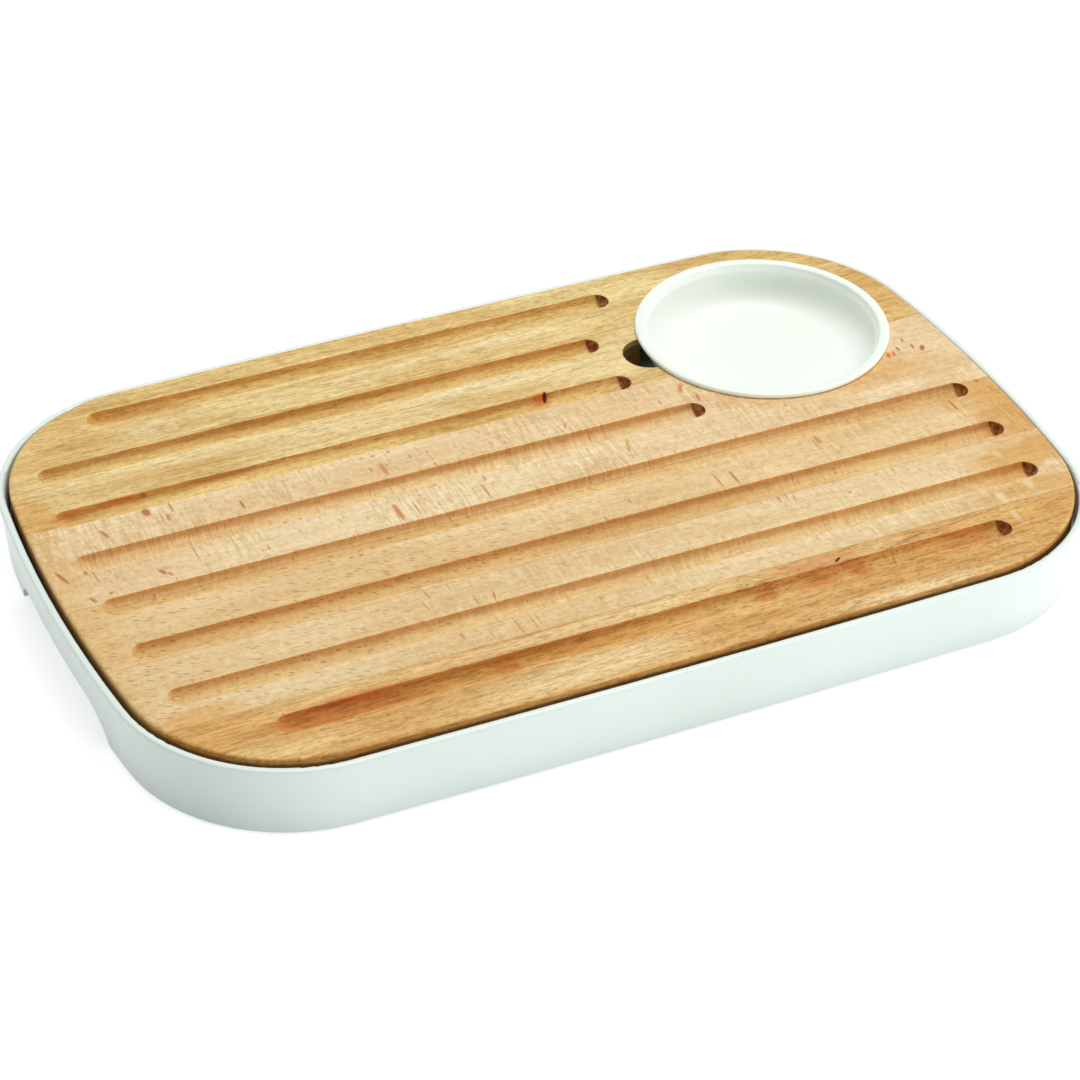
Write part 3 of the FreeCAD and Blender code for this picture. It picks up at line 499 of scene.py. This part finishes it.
def makeStave(name):
    look = staveLooks[name]
    material, tree, shader, place = newMaterial("beech_" + name)
    here = place.outputs["Object"]
    shift = tuple(look["seed"] * step for step in boardLook["seedStep"])
    own = stretched(tree, here, (1, 1, 1), shift, look["tilt"])
    along, across = addNode(tree, "ShaderNodeSeparateXYZ", {0: here}).outputs[:2]

    # broad tone with the wide marks in it, then bands and fibres that run along the board
    color = mixColors(tree, toneOf(tree, grainOf(tree, own, "broad"), "broad"),
                      linearColor(*look["base"]), linearColor(*look["warm"]))
    waviness = grainOf(tree, here, "waviness")
    wideMarks = [mark for mark in woodMarks[name] if isWide(mark)]
    smallMarks = [mark for mark in woodMarks[name] if not isWide(mark)]
    color = addMarks(tree, here, waviness, color, wideMarks)
    fibres = grainOf(tree, own, "fibres")
    tone = product(
        tree,
        stripes(tree, grainOf(tree, own, "bands"), "bands", boardLook["bandTone"], look["bands"]),
        stripes(tree, fibres, "fibres", boardLook["fibreTone"], look["fibres"]),
        toneOf(tree, grainOf(tree, own, "mottle"), "mottle", *boardLook["mottleTone"]))
    color = toned(tree, color, tone)

    # short brown dashes of flat-sawn wood, and the rays of quarter-sawn wood
    turnStart, turnEnd = (value / perMetre for value in look["turn"])
    leaning = stretched(tree, own, (1, 1, 1), turn=-look["lean"])
    dashes = product(tree, scattered(tree, leaning, look["dashCell"], dashSpots),
                     smoothStep(tree, along, turnStart, turnEnd, *look["dashes"]))
    color = mixColors(tree, product(tree, dashes, dashSpots["strength"]), color,
                      linearColor(*dashSpots["color"]))
    if max(look["rays"]) > 0:
        rayPart = smoothStep(tree, along, turnStart, turnEnd, *look["rays"])
        color = addRays(tree, own, rayPart, color)

    color = addMarks(tree, here, waviness, color, smallMarks)
    color = addGlueLines(tree, name, across, color)
    color = tintCuts(tree, here, place.outputs["Normal"], own, color)
    tree.links.new(color, shader.inputs["Base Color"])

    rough = smoothStep(tree, fibres, *boardLook["roughRange"], *boardLook["roughness"])
    tree.links.new(rough, shader.inputs["Roughness"])
    height = calculate(tree, "SUBTRACT", product(tree, fibres, boardLook["fibreHeight"]),
                       product(tree, dashes, boardLook["dashHeight"]))
    addBump(tree, shader, height, boardLook["bumpDepth"], boardLook["bumpStrength"])
    shader.inputs["Specular IOR Level"].default_value = boardLook["specular"]
    dress(nodes[name], material)


for name in staveLooks:
    makeStave(name)
print("bread board done")


# the crumb tray and the dip bowl: moulded plastic

trayLook = {"color": (232, 241, 236), "shade": (228, 239, 233), "roughness": (0.28, 0.38),
            "grainSize": 0.0012, "bumpDepth": 0.00001}
bowlLook = {"color": (243, 247, 240), "shade": (240, 245, 237), "roughness": (0.40, 0.46),
            "grainSize": 0.006, "bumpDepth": 0.000004}
footLook = {"color": (196, 198, 196), "shade": (180, 183, 181), "roughness": (0.62, 0.78),
            "grainSize": 0.0004, "bumpDepth": 0.00004}
plasticSkin = {"driftScale": 14, "driftRange": (0.35, 0.65), "skinRange": (0.3, 0.7),
               "bumpStrength": 0.5}


def makePlastic(name, look):
    # a soft drift of tone, and the fine skin of the mould as roughness and bump
    material, tree, shader, place = newMaterial(name)
    here = place.outputs["Object"]
    drift = noiseOf(tree, here, scale=plasticSkin["driftScale"])
    color = mixColors(tree, smoothStep(tree, drift, *plasticSkin["driftRange"]),
                      linearColor(*look["color"]), linearColor(*look["shade"]))
    tree.links.new(color, shader.inputs["Base Color"])
    skin = noiseOf(tree, here, scale=1 / look["grainSize"])
    rough = smoothStep(tree, skin, *plasticSkin["skinRange"], *look["roughness"])
    tree.links.new(rough, shader.inputs["Roughness"])
    addBump(tree, shader, skin, look["bumpDepth"], plasticSkin["bumpStrength"])
    return material


dress(nodes["tray"], makePlastic("satin_white_tray", trayLook))
dress(nodes["dip_bowl"], makePlastic("gloss_white_bowl", bowlLook))
footRubber = makePlastic("grey_rubber_foot", footLook)
for number in range(1, 5):
    dress(nodes["rubber_foot_%d" % number], footRubber)
print("plastic pieces done")


# floor, light and camera

studio = {
    "floorColor": (0.86, 0.86, 0.86, 1),
    "floorRoughness": 0.9,
    "floorReach": 12.0,          # metres from the middle to each side
    "floorLift": 0.60,           # added white that the camera and reflections see
    "worldLight": 0.50,
    "worldColor": (0.955, 1.0, 0.975, 1),
    "keyPower": 37.8, "keySize": 1.0, "keyPlace": (0.75, 0.60, 2.45),
    "fillPower": 7.8, "fillSize": 0.35, "fillPlace": (0.85, -1.25, 0.16),
    "lampAim": (0, 0, 0.02),
}

cameraView = {
    "azimuth": -25.42, "elevation": 35.9, "roll": 0.86,      # degrees
    "distance": 1.2528, "aim": (-0.0178, -0.0361, 0.0321),   # metres
    "lens": 114.07, "sensor": 36.0,                          # millimetres
    "farthest": 60,                                          # metres that it sees
}


def seenDirectly(tree):
    # 1 for the camera, mirror and glass rays, 0 for the light that falls on the object
    path = addNode(tree, "ShaderNodeLightPath")
    first = calculate(tree, "MAXIMUM", path.outputs["Is Camera Ray"], path.outputs["Is Glossy Ray"])
    return calculate(tree, "MAXIMUM", first, path.outputs["Is Transmission Ray"])


def makeFloor():
    mesh = bpy.data.meshes.new("floor")
    reach = studio["floorReach"]
    corners = [(-reach, -reach, 0), (reach, -reach, 0), (reach, reach, 0), (-reach, reach, 0)]
    mesh.from_pydata(corners, [], [(0, 1, 2, 3)])
    floor = bpy.data.objects.new("floor", mesh)
    scene.collection.objects.link(floor)
    material, tree, shader = newMaterial("pale_floor")[:3]
    shader.inputs["Base Color"].default_value = studio["floorColor"]
    shader.inputs["Roughness"].default_value = studio["floorRoughness"]
    shader.inputs["Specular IOR Level"].default_value = 0.0
    shader.inputs["Emission Color"].default_value = (1, 1, 1, 1)
    lift = product(tree, seenDirectly(tree), studio["floorLift"])
    tree.links.new(lift, shader.inputs["Emission Strength"])
    mesh.materials.append(material)


def makeWorld():
    world = bpy.data.worlds.new("white_room")
    world.use_nodes = True
    scene.world = world
    tree = world.node_tree
    light = tree.nodes["Background"]
    seen = seenDirectly(tree)
    tree.links.new(mixColors(tree, seen, studio["worldColor"], (1, 1, 1, 1)),
                   light.inputs["Color"])
    strength = calculate(tree, "ADD", studio["worldLight"],
                         product(tree, seen, 1 - studio["worldLight"]))
    tree.links.new(strength, light.inputs["Strength"])


def addSoftbox(name, power, size, place):
    light = bpy.data.lights.new(name, "AREA")
    light.shape = "SQUARE"
    light.size = size
    light.energy = power
    box = bpy.data.objects.new(name, light)
    box.location = place
    direction = Vector(studio["lampAim"]) - Vector(place)
    box.rotation_euler = direction.to_track_quat("-Z", "Y").to_euler()
    scene.collection.objects.link(box)


def addCamera():
    azimuth, elevation, roll = (math.radians(cameraView[key]) for key in
                                ("azimuth", "elevation", "roll"))
    back = Vector((math.sin(azimuth) * math.cos(elevation),
                   -math.cos(azimuth) * math.cos(elevation), math.sin(elevation)))
    side = Vector((0, 0, 1)).cross(back).normalized()
    top = back.cross(side)
    right = math.cos(roll) * side + math.sin(roll) * top
    up = -math.sin(roll) * side + math.cos(roll) * top
    camera = bpy.data.objects.new("camera", bpy.data.cameras.new("camera"))
    camera.data.lens = cameraView["lens"]
    camera.data.sensor_width = cameraView["sensor"]
    camera.data.clip_end = cameraView["farthest"]
    turn = Matrix((right, up, back)).transposed().to_4x4()
    place = Vector(cameraView["aim"]) + back * cameraView["distance"]
    camera.matrix_world = Matrix.Translation(place) @ turn
    scene.collection.objects.link(camera)
    scene.camera = camera


makeFloor()
makeWorld()
addSoftbox("key_softbox", studio["keyPower"], studio["keySize"], studio["keyPlace"])
addSoftbox("fill_softbox", studio["fillPower"], studio["fillSize"], studio["fillPlace"])
addCamera()
scene.view_settings.view_transform = "Standard"
print("studio done")
